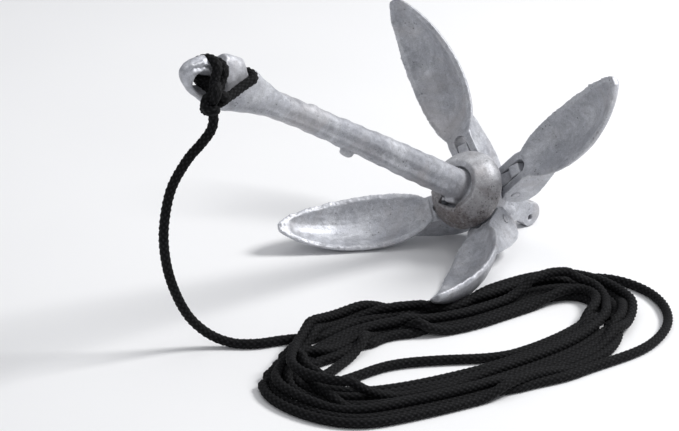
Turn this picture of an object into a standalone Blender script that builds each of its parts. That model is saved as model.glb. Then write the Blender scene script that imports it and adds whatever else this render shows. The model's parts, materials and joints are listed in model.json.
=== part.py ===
"""Folding four-fluke grapnel anchor lying on the floor with its rope, in metres, +Z up, floor at z = 0.

The anchor is modelled in its shank frame: +Z runs along the shank to the eye, the hinge pins lie in
z = 0, and the flukes stand at 0, 90, 180 and 270 degrees round the shank. An empty tips it over."""

import math

import bmesh
import bpy
from mathutils import Matrix, Vector

MM = 0.001

# Rest pose of the anchor
HUB_AT = (82.7, 107.8, 27.6)
EYE_AZIMUTH = 225.5
EYE_ELEVATION = 29.5
SHANK_ROLL = 45.0

# Brings the middle of the object's underside to the origin
ORIGIN_SHIFT = (-44.6, -16.4, 0.0)

# Flukes: angle of each round the shank, and how far it stands open from the shank
FLUKES = {
    "fluke_right": (0.0, 69.5),
    "fluke_top": (90.0, 69.5),
    "fluke_left": (180.0, 41.6),
    "fluke_bottom": (270.0, 41.6),
}
PIN_RADIUS_AT = 18.7
BLADE_ROOT, BLADE_TIP = 18.3, 113.0
BLADE_HALF_WIDTH = 17.3
RIM_ABOVE_PIN = 8.0
RIM_BOW = 8.8
RIM_LAND = 0.82
EDGE_THICKNESS = 2.6
HULL_DEPTH = 7.6
BASIN_DEPTH = 6.4
FORK_HALF_WIDTH = 8.4
SLOT_HALF_WIDTH = 3.9
SLOT_END = 21.5
BORE_RADIUS = 2.7
PIN_RADIUS = 2.3
LUG_HALF_WIDTH = 3.5

# Shank and eye
EYE_HOLE = (257.0, -4.0)
EYE_HOLE_HALF = (9.6, 5.4)
# Rounded notches in the head's upper edge that hold the rope, as (wide side, along, half depth, half length)
ROPE_NOTCHES = [(14.6, 261.0, 9.0, 8.4), (20.6, 229.0, 9.8, 6.4)]
SHANK_CORNERS = 2.4
TRIP_AT = (1.0, -42.4)
TRIP_RADIUS = 7.3
TRIP_HALF_THICKNESS = 3.4

# Lock collar: it hangs in its play round the shank, given as (thin side, wide side, along)
COLLAR_BORE = 11.1
COLLAR_HANG = (0.9, -0.8, -2.6)

# Rope
ROPE_RADIUS = 2.6
COIL_AT = (71.4, -52.1)
COIL_ANGLE = 31.7
# Places round the coil's bundle, as (outer edge along, across, inner edge along, across, half height), in the
# coil's own frame; it is thin where a fluke's tip lies over it
COIL_STATIONS = [
    (-72.0, 54.0, -68.0, 26.0, 6.0),
    (-40.0, 66.0, -38.0, 36.0, 5.6),
    (-12.0, 60.0, -9.0, 34.0, 3.2),
    (20.0, 52.0, 20.0, 31.0, 2.7),
    (52.0, 54.0, 50.0, 35.0, 4.0),
    (90.0, 57.0, 79.0, 40.0, 6.0),
    (112.0, 46.0, 97.0, 36.0, 6.0),
    (117.0, 18.0, 98.0, 22.0, 6.0),
    (100.0, -7.0, 84.0, 8.0, 6.0),
    (75.0, -25.0, 62.0, -3.0, 6.0),
    (44.0, -37.0, 34.0, -10.0, 6.0),
    (8.0, -43.0, 5.0, -15.0, 6.0),
    (-28.0, -46.0, -24.0, -17.0, 6.0),
    (-66.0, -46.0, -52.0, -15.0, 6.0),
    (-99.0, -41.0, -78.0, -8.0, 6.0),
    (-117.0, -16.0, -91.0, 2.0, 6.0),
    (-119.0, 12.0, -92.0, 12.0, 6.0),
    (-100.0, 38.0, -84.0, 20.0, 6.0),
]
# A single turn that runs wide of the others at the right
WIDE_TURN = [
    (80.0, 50.0),
    (104.0, 56.0),
    (124.0, 50.0),
    (134.0, 36.0),
    (136.0, 20.0),
    (133.0, 4.0),
    (123.0, -13.0),
    (108.0, -27.0),
    (88.0, -35.0),
    (64.0, -38.0),
    (38.0, -32.0),
]
WIDE_TURN_HEIGHT = 4.0

ROUND = 24


def clear_scene():
    for obj in list(bpy.data.objects):
        bpy.data.objects.remove(obj, do_unlink=True)


def material(name, colour, roughness, metallic):
    made = bpy.data.materials.new(name)
    made.use_nodes = True
    shader = made.node_tree.nodes["Principled BSDF"]
    shader.inputs["Base Color"].default_value = (*colour, 1.0)
    shader.inputs["Roughness"].default_value = roughness
    shader.inputs["Metallic"].default_value = metallic
    return made


def solid(name, verts, faces, placed=None, smooth=False, shown=True):
    """An object from points in millimetres, its faces turned outwards. A helper for a Boolean isn't shown."""
    mesh = bpy.data.meshes.new(name)
    bm = bmesh.new()
    made = [bm.verts.new(Vector(v) * MM) for v in verts]
    for face in faces:
        bm.faces.new([made[i] for i in face])
    bmesh.ops.recalc_face_normals(bm, faces=bm.faces)
    if bm.calc_volume(signed=True) < 0:
        bmesh.ops.reverse_faces(bm, faces=bm.faces)
    bm.to_mesh(mesh)
    bm.free()
    for polygon in mesh.polygons:
        polygon.use_smooth = smooth
    obj = bpy.data.objects.new(name, mesh)
    bpy.context.scene.collection.objects.link(obj)
    if placed is not None:
        obj.matrix_basis = placed
    if not shown:
        obj.hide_render = True
        obj.display_type = "WIRE"
    return obj


def loft(rings, closed=False):
    """Points and faces through rings of equal length, capped at both ends or closed into a loop."""
    count = len(rings[0])
    verts = [point for ring in rings for point in ring]
    faces = []
    spans = len(rings) if closed else len(rings) - 1
    for i in range(spans):
        a, b = i * count, ((i + 1) % len(rings)) * count
        for j in range(count):
            k = (j + 1) % count
            faces.append((a + j, a + k, b + k, b + j))
    if not closed:
        faces.append(tuple(range(count)))
        faces.append(tuple((len(rings) - 1) * count + j for j in range(count)))
    return verts, faces


def prism(outline, low, high, order):
    """An outline of (p, q) points swept from low to high; order places (p, q, swept) as x, y, z."""
    rings = []
    for swept in (low, high):
        ring = []
        for p, q in outline:
            values = (p, q, swept)
            ring.append(tuple(values[i] for i in order))
        rings.append(ring)
    return loft(rings)


def circle(radius, count=ROUND, centre=(0.0, 0.0)):
    turns = [math.tau * i / count for i in range(count)]
    return [(centre[0] + radius * math.cos(t), centre[1] + radius * math.sin(t)) for t in turns]


def boolean(target, other, operation):
    modifier = target.modifiers.new(operation.lower(), "BOOLEAN")
    modifier.operation = operation
    modifier.solver = "EXACT"
    modifier.object = other


# ---------------------------------------------------------------- frames

WIDE = Vector((math.sqrt(0.5), math.sqrt(0.5), 0.0))
THIN = Vector((math.sqrt(0.5), -math.sqrt(0.5), 0.0))


def shank_frame():
    """An empty whose +Z points along the shank to the eye, and whose +X points at fluke_right."""
    azimuth, elevation = math.radians(EYE_AZIMUTH), math.radians(EYE_ELEVATION)
    along = Vector(
        (
            math.cos(elevation) * math.cos(azimuth),
            math.cos(elevation) * math.sin(azimuth),
            math.sin(elevation),
        )
    )
    level = Vector((0.0, 0.0, 1.0)).cross(along).normalized()
    steep = along.cross(level)
    roll = math.radians(SHANK_ROLL)
    first = math.cos(roll) * level + math.sin(roll) * steep
    second = along.cross(first)
    frame = bpy.data.objects.new("shank_frame", None)
    turned = Matrix((first, second, along)).transposed().to_4x4()
    frame.matrix_basis = Matrix.Translation(Vector(HUB_AT) * MM) @ turned
    bpy.context.scene.collection.objects.link(frame)
    return frame


def flat_plane(n, w, z):
    """A point given across the shank's thin side, across its wide side, and along it."""
    return tuple(THIN * n + WIDE * w + Vector((0.0, 0.0, z)))


# ---------------------------------------------------------------- shank

# Rows of (along, half width, half thickness, sideways shift, depth of the flute)
SHANK_ROWS = [
    (-13.0, 7.6, 6.6, 0.0, 0.0),
    (-9.0, 8.8, 8.0, 0.0, 0.0),
    (22.4, 8.8, 8.2, 0.0, 0.0),
    (22.8, 11.8, 11.8, 0.0, 0.0),
    (28.3, 11.8, 11.8, 0.0, 0.0),
    (28.7, 9.0, 8.3, 0.0, 0.0),
    (46.0, 9.0, 7.9, 0.0, 0.8),
    (86.0, 8.4, 7.4, 0.5, 1.1),
    (140.0, 7.4, 6.8, 0.9, 1.0),
    (182.0, 7.0, 6.5, 0.7, 0.9),
    (200.0, 7.4, 6.5, 0.4, 0.7),
    (211.0, 8.6, 6.5, 0.6, 0.3),
    (217.0, 9.9, 6.5, 0.8, 0.0),
    (224.0, 11.8, 6.6, 1.1, 0.0),
    (230.0, 13.1, 6.6, 1.2, 0.0),
    (237.0, 14.2, 6.5, 1.1, 0.0),
    (245.0, 14.5, 6.3, 0.7, 0.0),
    (253.0, 13.4, 6.0, 0.2, 0.0),
    (262.0, 10.8, 5.3, -0.7, 0.0),
    (268.0, 8.0, 4.6, -1.2, 0.0),
    (272.5, 5.0, 3.4, -1.7, 0.0),
    (275.2, 1.8, 1.4, -2.2, 0.0),
]


def shank_ring(row):
    along, wide, thin, shift, flute = row
    ring = []
    for i in range(ROUND):
        turn = math.tau * (i + 0.5) / ROUND
        c, s = math.cos(turn), math.sin(turn)
        n = math.copysign(abs(c) ** (2 / SHANK_CORNERS), c) * thin
        w = math.copysign(abs(s) ** (2 / SHANK_CORNERS), s) * wide
        n -= math.copysign(flute * math.exp(-((w / (0.38 * wide)) ** 2)), n)
        ring.append(flat_plane(n, w + shift, along))
    return ring


def stub(name, angle, reach, half_width, low, high, start=4.0):
    """A block that stands out of the shank at an angle round it."""
    out = [(start, low), (reach, low + 1.0), (reach, high - 1.0), (start, high)]
    verts, faces = prism(out, -half_width, half_width, (0, 2, 1))
    turned = Matrix.Rotation(math.radians(angle), 4, "Z")
    return solid(name, verts, faces, turned, shown=False)


LUG_OUTLINE = [
    (4.0, -11.0),
    (24.0, -9.5),
    (31.0, -7.5),
    (34.0, -3.0),
    (34.0, 5.0),
    (31.8, 12.0),
    (25.6, 12.0),
    (23.4, 8.5),
    (4.0, 9.5),
]


def crown_lug(angle):
    """The lug that one fluke's fork straddles."""
    verts, faces = prism(LUG_OUTLINE, -LUG_HALF_WIDTH, LUG_HALF_WIDTH, (0, 2, 1))
    turned = Matrix.Rotation(math.radians(angle), 4, "Z")
    return solid("crown_lug", verts, faces, turned, shown=False)


def pin_bore(angle, radius, half_length):
    """A cylinder lying along a fluke's hinge axis."""
    verts, faces = prism(circle(radius, 16, (PIN_RADIUS_AT, 0.0)), -half_length, half_length, (0, 2, 1))
    turned = Matrix.Rotation(math.radians(angle), 4, "Z")
    return solid("pin_bore", verts, faces, turned, shown=False)


def across(outline, half_thickness, offset=0.0):
    """An outline of (wide, along) points, as thick as given across the shank's thin side."""
    rings = []
    for n in (offset - half_thickness, offset + half_thickness):
        rings.append([flat_plane(n, w, z) for w, z in outline])
    return loft(rings)


def trip_plate():
    outline = [(9.0, -6.0), (8.6, -18.0), (7.6, -32.0)]
    for i in range(13):
        turn = math.radians(30.0 - 240.0 * i / 12)
        outline.append((TRIP_AT[0] + TRIP_RADIUS * math.cos(turn), TRIP_AT[1] + TRIP_RADIUS * math.sin(turn)))
    outline += [(-5.6, -32.0), (-8.0, -18.0), (-9.0, -6.0)]
    return solid("trip_plate", *across(outline, TRIP_HALF_THICKNESS), shown=False)


def crown_rib():
    """A short round rib that runs down the trip plate's face from the crown."""
    rings = []
    for z in (-6.0, -23.0):
        rings.append([flat_plane(TRIP_HALF_THICKNESS + 0.8 + x, y - 1.5, z) for x, y in circle(1.9, 10)])
    return solid("crown_rib", *loft(rings), shown=False)


def shank(frame, iron):
    body = solid("shank", *loft([shank_ring(row) for row in SHANK_ROWS]), smooth=True)
    body.data.materials.append(iron)
    for angle, _ in FLUKES.values():
        boolean(body, crown_lug(angle), "UNION")
    boolean(body, trip_plate(), "UNION")
    boolean(body, crown_rib(), "UNION")
    boolean(body, stub("collar_key", 236.0, 11.4, 3.4, 26.0, 34.2), "UNION")
    boolean(body, stub("stop_lug", 225.0, 10.6, 2.6, 125.0, 136.0), "UNION")
    boolean(body, stub("casting_bump", 45.0, 9.8, 2.6, 165.0, 175.0), "UNION")
    for angle, _ in FLUKES.values():
        boolean(body, pin_bore(angle, BORE_RADIUS, 12.0), "DIFFERENCE")
    long_half, wide_half = EYE_HOLE_HALF
    eye = [(EYE_HOLE[1] + wide_half * x, EYE_HOLE[0] + long_half * y) for x, y in circle(1.0, 20)]
    boolean(body, solid("eye_hole", *across(eye, 20.0), shown=False), "DIFFERENCE")
    for w, z, depth, length in ROPE_NOTCHES:
        notch = [(w + depth * x, z + length * y) for x, y in circle(1.0, 20)]
        boolean(body, solid("rope_notch", *across(notch, 20.0), shown=False), "DIFFERENCE")
    trip = circle(1.8, 12, (TRIP_AT[0] - 2.0, TRIP_AT[1]))
    boolean(body, solid("trip_hole", *across(trip, 20.0), shown=False), "DIFFERENCE")
    body.parent = frame
    for modifier in body.modifiers:
        modifier.object.parent = frame


# ---------------------------------------------------------------- lock collar

# Profile as (radius, along), from the rim over the dome to the bore, then back inside
COLLAR_PROFILE = [
    (21.8, 19.9),
    (22.8, 21.0),
    (22.8, 24.2),
    (21.0, 28.4),
    (18.2, 32.0),
    (15.6, 34.4),
    (14.2, 35.6),
    (COLLAR_BORE, 35.6),
    (COLLAR_BORE, 32.1),
    (13.4, 32.0),
    (17.4, 29.0),
    (19.6, 25.0),
    (20.2, 19.9),
]


def lock_collar(frame, iron):
    rings = []
    for i in range(ROUND):
        turn = math.tau * i / ROUND
        rings.append([(r * math.cos(turn), r * math.sin(turn), z) for r, z in COLLAR_PROFILE])
    collar = solid("lock_collar", *loft(rings, closed=True), smooth=True)
    collar.data.materials.append(iron)
    hang = Vector(flat_plane(*COLLAR_HANG)) * MM
    collar.matrix_basis = Matrix.Translation(hang)
    keyway = stub("keyway", 228.0, 13.8, 6.4, 24.0, 38.0)
    boolean(collar, keyway, "DIFFERENCE")
    collar.parent = frame
    keyway.parent = frame


# ---------------------------------------------------------------- flukes

BLADE_STEPS = [0.03, 0.08, 0.14, 0.22, 0.32, 0.42, 0.52, 0.62, 0.72, 0.81, 0.88, 0.94, 0.975]
ACROSS_STEPS = [-1.0, -RIM_LAND, -0.66, -0.4, 0.0, 0.4, 0.66, RIM_LAND, 1.0]
LEAF_POWERS = (0.44, 0.66)
# Side view of the fork as (out to the tip, in to the shank), round the pin
FORK_OUTLINE = [
    (18.0, 7.8),
    (23.0, 5.4),
    (29.0, 0.8),
    (38.0, -4.0),
    (27.0, -9.6),
    (13.0, -12.7),
    (3.0, -13.7),
    (-4.0, -12.0),
    (-7.8, -7.0),
    (-8.0, 0.0),
    (-5.4, 5.8),
    (0.0, 8.0),
]


def leaf(t):
    rise, fall = LEAF_POWERS
    peak = rise / (rise + fall)
    return (t / peak) ** rise * ((1 - t) / (1 - peak)) ** fall


def bowl(s):
    """1 in the middle of the basin, 0 on the flat rim."""
    inner = min(1.0, abs(s) / RIM_LAND)
    return 1.0 - inner * inner


def blade_mesh():
    """The spoon-shaped blade: x across, y towards the shank, z out to the tip."""
    rings = []
    for t in BLADE_STEPS:
        along = BLADE_ROOT + (BLADE_TIP - BLADE_ROOT) * t
        rim = RIM_ABOVE_PIN - 4 * RIM_BOW * t * (1 - t)
        half = BLADE_HALF_WIDTH * leaf(t)
        swell = math.sin(math.pi * min(1.0, 0.12 + 0.86 * t)) ** 0.75
        hollow = math.sin(math.pi * t) ** 0.8
        inner = [(s * half, rim - BASIN_DEPTH * hollow * bowl(s), along) for s in ACROSS_STEPS]
        outer = []
        for s in reversed(ACROSS_STEPS):
            depth = EDGE_THICKNESS + HULL_DEPTH * swell * (1 - abs(s) ** 2.2)
            outer.append((s * half * 0.97, rim - depth, along))
        rings.append(inner + outer)
    return loft(rings)


def slot_outline():
    """The fork's slot as (across, along) points, with a round end."""
    outline = [(SLOT_HALF_WIDTH, -20.0)]
    for i in range(9):
        turn = math.pi * i / 8
        centre = SLOT_END - SLOT_HALF_WIDTH
        outline.append((SLOT_HALF_WIDTH * math.cos(turn), centre + SLOT_HALF_WIDTH * math.sin(turn)))
    outline.append((-SLOT_HALF_WIDTH, -20.0))
    return outline


def fluke(name, frame, angle, opened, iron):
    hinge = Matrix.Rotation(math.radians(angle), 4, "Z") @ Matrix.Translation((PIN_RADIUS_AT * MM, 0.0, 0.0))
    tilt = math.radians(opened)
    across_axis = Vector((0.0, 1.0, 0.0))
    inward = Vector((-math.cos(tilt), 0.0, math.sin(tilt)))
    outward = Vector((math.sin(tilt), 0.0, math.cos(tilt)))
    placed = hinge @ Matrix((across_axis, inward, outward)).transposed().to_4x4()
    blade = solid(name, *blade_mesh(), placed, smooth=True)
    blade.data.materials.append(iron)
    side = [(inward, out) for out, inward in FORK_OUTLINE]
    fork = solid("fork", *prism(side, -FORK_HALF_WIDTH, FORK_HALF_WIDTH, (2, 0, 1)), placed, shown=False)
    slot = solid("slot", *prism(slot_outline(), -25.0, 25.0, (0, 2, 1)), placed, shown=False)
    bore = solid("bore", *prism(circle(BORE_RADIUS, 16), -25.0, 25.0, (2, 0, 1)), placed, shown=False)
    boolean(blade, fork, "UNION")
    boolean(blade, slot, "DIFFERENCE")
    boolean(blade, bore, "DIFFERENCE")
    for obj in (blade, fork, slot, bore):
        obj.parent = frame


# ---------------------------------------------------------------- hinge pins

# A rivet as (radius, along its own axis), its ends hammered nearly flush with the fork's cheeks
PIN_PROFILE = [
    (1.6, -9.0),
    (PIN_RADIUS, -8.6),
    (PIN_RADIUS, 8.6),
    (1.6, 9.0),
]


def hinge_pin(name, frame, angle, steel):
    rings = [[(x, along, y) for x, y in circle(radius, 12)] for radius, along in PIN_PROFILE]
    placed = Matrix.Rotation(math.radians(angle), 4, "Z") @ Matrix.Translation((PIN_RADIUS_AT * MM, 0.0, 0.0))
    pin = solid(name, *loft(rings), placed)
    pin.data.materials.append(steel)
    pin.parent = frame


# ---------------------------------------------------------------- rope

# The line from the knot to the coil, in millimetres
LINE = [
    (-68.7, -62.6, 145.0),
    (-67.8, -62.6, 134.0),
    (-73.0, -62.6, 123.0),
    (-82.0, -62.6, 111.0),
    (-90.0, -62.6, 94.0),
    (-93.6, -62.4, 69.0),
    (-90.0, -61.0, 48.0),
    (-81.0, -57.0, 25.0),
    (-70.0, -52.0, 9.0),
    (-56.0, -52.0, 3.2),
    (-42.0, -52.4, 3.0),
    (-26.0, -44.0, 4.6),
    (-8.0, -38.0, 6.0),
]

# The knot's centre and radii, and two turns round the eye, as (thin side, wide side, along)
KNOT_AT = (12.6, -10.0, 256.5)
KNOT_HALF = (5.6, 7.6, 8.0)
EYE_TURN = [
    (12.2, -6.0, 261.0),
    (9.0, 2.0, 261.0),
    (8.0, 7.0, 261.0),
    (3.6, 9.4, 261.0),
    (-3.6, 9.4, 260.5),
    (-8.6, 7.2, 259.5),
    (-9.4, 2.0, 258.0),
    (-6.0, -2.4, 257.0),
    (3.0, -2.6, 256.6),
    (11.6, -8.0, 252.6),
]
NECK_TURN = [
    (12.0, -6.0, 253.0),
    (10.2, 2.0, 240.0),
    (9.4, 9.0, 233.0),
    (6.2, 14.2, 229.6),
    (0.0, 15.2, 229.0),
    (-6.2, 14.2, 228.6),
    (-9.6, 10.0, 228.6),
    (-10.0, 4.0, 230.0),
    (-10.2, -6.0, 234.0),
    (-8.2, -14.0, 242.0),
    (-1.0, -17.4, 247.0),
    (6.6, -16.6, 251.0),
    (11.5, -12.0, 254.0),
]


def tube(path, radius, sides=6):
    """A round tube through the points of a path."""
    points = [Vector(p) for p in path]
    rings = []
    side = None
    for i, point in enumerate(points):
        ahead = (points[min(i + 1, len(points) - 1)] - points[max(i - 1, 0)]).normalized()
        if side is None:
            side = ahead.orthogonal().normalized()
        side = (side - ahead * side.dot(ahead)).normalized()
        other = ahead.cross(side)
        ring = [point + side * x + other * y for x, y in circle(radius, sides)]
        rings.append([tuple(p) for p in ring])
    return loft(rings)


def coil_place(u, v, height=0.0):
    """A point from the coil's own frame, in millimetres."""
    spun = Matrix.Rotation(math.radians(COIL_ANGLE), 4, "Z")
    return spun @ Vector((u, v, 0.0)) + Vector((*COIL_AT, height))


def coil_rings(parts=2):
    """Sections of the flattened bundle that stands for the coil's turns, on a smooth closed curve."""
    rows = [Vector(station) for station in COIL_STATIONS]
    rings = []
    for i, start in enumerate(rows):
        before, end, after = rows[i - 1], rows[(i + 1) % len(rows)], rows[(i + 2) % len(rows)]
        for j in range(parts):
            t = j / parts
            square = 2 * before - 5 * start + 4 * end - after
            cube = 3 * start - before - 3 * end + after
            row = start + 0.5 * ((end - before) * t + square * t**2 + cube * t**3)
            ou, ov, iu, iv, half_height = row
            out = Vector((ou - iu, ov - iv, 0.0))
            half_width = out.length / 2 + ROPE_RADIUS
            out.normalize()
            ring = []
            for p, q in circle(1.0, 8):
                side = out * (p * half_width)
                at = ((ou + iu) / 2 + side.x, (ov + iv) / 2 + side.y)
                ring.append(tuple(coil_place(*at, half_height * (1 + q))))
            rings.append(ring)
    return rings


def ball(centre, half, rings=6):
    """An ellipsoid in the shank frame, as a loft with small flat ends."""
    made = []
    for i in range(rings):
        turn = math.pi * (i + 0.35) / (rings - 0.3)
        z = centre[2] - half[2] * math.cos(turn)
        size = math.sin(turn)
        ring = []
        for x, y in circle(size, 10):
            ring.append(flat_plane(centre[0] + half[0] * x, centre[1] + half[1] * y, z))
        made.append(ring)
    return loft(made)


def anchor_rope(frame, floor, rope):
    coil = solid("anchor_rope", *loft(coil_rings(), closed=True), smooth=True)
    coil.data.materials.append(rope)
    coil.parent = floor
    line = solid("rope_line", *tube(LINE, ROPE_RADIUS), shown=False)
    line.parent = floor
    turn = [coil_place(u, v, WIDE_TURN_HEIGHT) for u, v in WIDE_TURN]
    wide = solid("wide_turn", *tube(turn, ROPE_RADIUS), shown=False)
    wide.parent = floor
    knot = solid("rope_knot", *ball(KNOT_AT, KNOT_HALF), shown=False)
    eye_turn = solid("eye_turn", *tube([flat_plane(*p) for p in EYE_TURN], ROPE_RADIUS), shown=False)
    neck_turn = solid("neck_turn", *tube([flat_plane(*p) for p in NECK_TURN], ROPE_RADIUS), shown=False)
    for obj in (knot, eye_turn, neck_turn):
        obj.parent = frame
        boolean(coil, obj, "UNION")
    boolean(coil, line, "UNION")
    boolean(coil, wide, "UNION")


def build():
    clear_scene()
    iron = material("galvanised_iron", (0.62, 0.63, 0.65), 0.45, 0.85)
    steel = material("rivet_steel", (0.5, 0.5, 0.52), 0.4, 0.9)
    rope = material("black_rope", (0.02, 0.02, 0.022), 0.8, 0.0)
    floor = bpy.data.objects.new("floor_frame", None)
    floor.location = Vector(ORIGIN_SHIFT) * MM
    bpy.context.scene.collection.objects.link(floor)
    frame = shank_frame()
    frame.parent = floor
    shank(frame, iron)
    lock_collar(frame, iron)
    for name, (angle, opened) in FLUKES.items():
        fluke(name, frame, angle, opened, iron)
        hinge_pin(name.replace("fluke", "pin"), frame, angle, steel)
    anchor_rope(frame, floor, rope)


build()
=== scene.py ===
"""Looks of the folding grapnel anchor: rough galvanised castings, worn rivets and a braided black rope.

Lengths inside the functions are in millimetres and are scaled when a mesh is made. The castings are built in
the shank frame: +Z along the shank to the eye, the hinge pins in z = 0, and the flukes at 0, 90, 180 and 270
degrees."""

import json
import math

import bmesh
import bpy
import numpy as np
from mathutils import Matrix, Vector, noise
from mathutils.bvhtree import BVHTree


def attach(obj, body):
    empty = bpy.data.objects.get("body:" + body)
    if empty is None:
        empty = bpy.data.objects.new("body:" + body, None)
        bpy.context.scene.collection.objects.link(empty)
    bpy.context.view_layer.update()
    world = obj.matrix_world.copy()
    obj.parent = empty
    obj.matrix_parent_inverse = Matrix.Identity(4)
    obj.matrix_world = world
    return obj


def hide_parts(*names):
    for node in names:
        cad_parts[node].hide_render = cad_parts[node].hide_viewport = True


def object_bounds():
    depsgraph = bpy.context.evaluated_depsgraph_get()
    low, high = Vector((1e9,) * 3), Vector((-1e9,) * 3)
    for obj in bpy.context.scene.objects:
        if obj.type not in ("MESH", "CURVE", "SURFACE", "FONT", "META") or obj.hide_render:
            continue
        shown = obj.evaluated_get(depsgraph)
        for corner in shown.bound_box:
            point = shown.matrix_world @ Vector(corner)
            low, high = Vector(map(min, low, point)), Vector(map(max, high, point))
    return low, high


MM = 0.001

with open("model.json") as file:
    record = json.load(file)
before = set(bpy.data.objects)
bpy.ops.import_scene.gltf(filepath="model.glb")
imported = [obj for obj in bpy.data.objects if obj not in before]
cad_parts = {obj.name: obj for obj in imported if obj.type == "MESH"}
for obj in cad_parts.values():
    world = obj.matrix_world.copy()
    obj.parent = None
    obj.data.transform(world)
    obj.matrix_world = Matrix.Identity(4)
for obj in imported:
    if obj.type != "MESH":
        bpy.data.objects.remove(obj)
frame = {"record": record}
cad_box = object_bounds()

# ---------------------------------------------------------------- places

JOINTS = {joint["name"]: joint for joint in frame["record"]["behaviour"]["joints"]}
# Angle of each fluke round the shank, and how far it stands open from the shank
FLUKES = {
    "fluke_right": (0.0, 69.5),
    "fluke_top": (90.0, 69.5),
    "fluke_left": (180.0, 41.6),
    "fluke_bottom": (270.0, 41.6),
}
# Distance of each hinge pin from the shank's axis
PIN_RADIUS_AT = 18.7
# Across the shank's wide side and across its thin side, in the shank frame
WIDE = Vector((math.sqrt(0.5), math.sqrt(0.5), 0.0))
THIN = Vector((math.sqrt(0.5), -math.sqrt(0.5), 0.0))


def shank_matrix():
    """From the shank frame in metres to the row frame, read from the record's joints."""
    pins = [Vector(JOINTS[name + "_hinge"]["pos_m"]) for name in FLUKES]
    hub = sum(pins, Vector()) / len(pins)
    along = Vector(JOINTS["collar_slide"]["axis"]).normalized()
    first = pins[0] - hub
    first = (first - along * first.dot(along)).normalized()
    turned = Matrix((first, along.cross(first), along)).transposed().to_4x4()
    return Matrix.Translation(hub) @ turned


SHANK = shank_matrix()


def flat_plane(n, w, z):
    """A point given across the shank's thin side, across its wide side, and along it."""
    return THIN * n + WIDE * w + Vector((0.0, 0.0, z))


def about_shank(angle):
    return Matrix.Rotation(math.radians(angle), 4, "Z")


def fluke_matrix(angle, opened):
    """From a fluke's frame to the shank frame, in millimetres: x across, y to the shank, z to the tip."""
    tilt = math.radians(opened)
    sideways = Vector((0.0, 1.0, 0.0))
    inward = Vector((-math.cos(tilt), 0.0, math.sin(tilt)))
    outward = Vector((math.sin(tilt), 0.0, math.cos(tilt)))
    turned = Matrix((sideways, inward, outward)).transposed().to_4x4()
    return about_shank(angle) @ Matrix.Translation((PIN_RADIUS_AT, 0.0, 0.0)) @ turned


# ---------------------------------------------------------------- mesh tools

# Sizes of the lumps in a cast skin, the distance between its pits, and a pit's size as a share of that
COARSE_LUMP, MIDDLE_LUMP, FINE_LUMP = 13.0, 4.2, 1.3
PIT_SPACING, PIT_SIZE, PIT_GATE = 4.6, 0.2, 0.45
# How far a cutter goes past the metal on each side
CUT_REACH = 20.0


def new_object(name, mesh):
    obj = bpy.data.objects.new(name, mesh)
    bpy.context.scene.collection.objects.link(obj)
    return obj


def mesh_of(name, verts, faces):
    """A mesh from points in millimetres, facing outwards."""
    mesh = bpy.data.meshes.new(name)
    bm = bmesh.new()
    made = [bm.verts.new(Vector(v) * MM) for v in verts]
    for face in faces:
        bm.faces.new([made[i] for i in face])
    bmesh.ops.recalc_face_normals(bm, faces=bm.faces)
    if bm.calc_volume(signed=True) < 0:
        bmesh.ops.reverse_faces(bm, faces=bm.faces)
    bm.to_mesh(mesh)
    bm.free()
    return mesh


def loft(rings, closed=False):
    """Points and faces of a skin over the rings: capped at both ends, or joined end to end if closed."""
    count = len(rings[0])
    verts = [point for ring in rings for point in ring]
    faces = []
    for i in range(len(rings) if closed else len(rings) - 1):
        a, b = i * count, ((i + 1) % len(rings)) * count
        for j in range(count):
            k = (j + 1) % count
            faces.append((a + j, a + k, b + k, b + j))
    if not closed:
        faces.append(tuple(range(count)))
        faces.append(tuple((len(rings) - 1) * count + j for j in range(count)))
    return verts, faces


def prism(outline, low, high, order):
    """An outline of (p, q) points swept from low to high; order places (p, q, swept) as x, y, z."""
    rings = []
    for swept in (low, high):
        rings.append([tuple((p, q, swept)[i] for i in order) for p, q in outline])
    return loft(rings)


def circle(radius, count=32, centre=(0.0, 0.0)):
    turns = [math.tau * i / count for i in range(count)]
    return [(centre[0] + radius * math.cos(t), centre[1] + radius * math.sin(t)) for t in turns]


def cast(name, base, joined, cut, skin, placed):
    """One casting: a base joined with solids and cut by others, then remeshed so that every edge is soft.

    skin is the size of the remeshed cells and the number of times they are smoothed."""
    voxel, relax = skin
    target = new_object(name, mesh_of(name, *base))
    helpers = []
    for operation, solids in (("UNION", joined), ("DIFFERENCE", cut)):
        for shape in solids:
            helper = new_object("helper", mesh_of("helper", *shape))
            modifier = target.modifiers.new("join", "BOOLEAN")
            modifier.operation, modifier.solver, modifier.object = operation, "EXACT", helper
            helpers.append(helper)
    remesh = target.modifiers.new("remesh", "REMESH")
    remesh.mode, remesh.voxel_size, remesh.use_smooth_shade = "VOXEL", voxel * MM, True
    smooth = target.modifiers.new("soft", "SMOOTH")
    smooth.factor, smooth.iterations = 0.5, relax
    graph = bpy.context.evaluated_depsgraph_get()
    mesh = bpy.data.meshes.new_from_object(target.evaluated_get(graph))
    for helper in helpers:
        bpy.data.objects.remove(helper)
    bpy.data.objects.remove(target)
    mesh.transform(placed)
    mesh.name = name
    return new_object(name, mesh)


def points_of(mesh, kind="co"):
    values = np.empty(len(mesh.vertices) * 3, np.float32)
    mesh.vertices.foreach_get(kind, values)
    return values.reshape(-1, 3)


def turned_points(shape):
    """The same solid turned from the thin and wide directions into the shank frame."""
    verts, faces = shape
    return [flat_plane(*v) for v in verts], faces


def moved(shape, matrix):
    verts, faces = shape
    return [matrix @ Vector(v) for v in verts], faces


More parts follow.
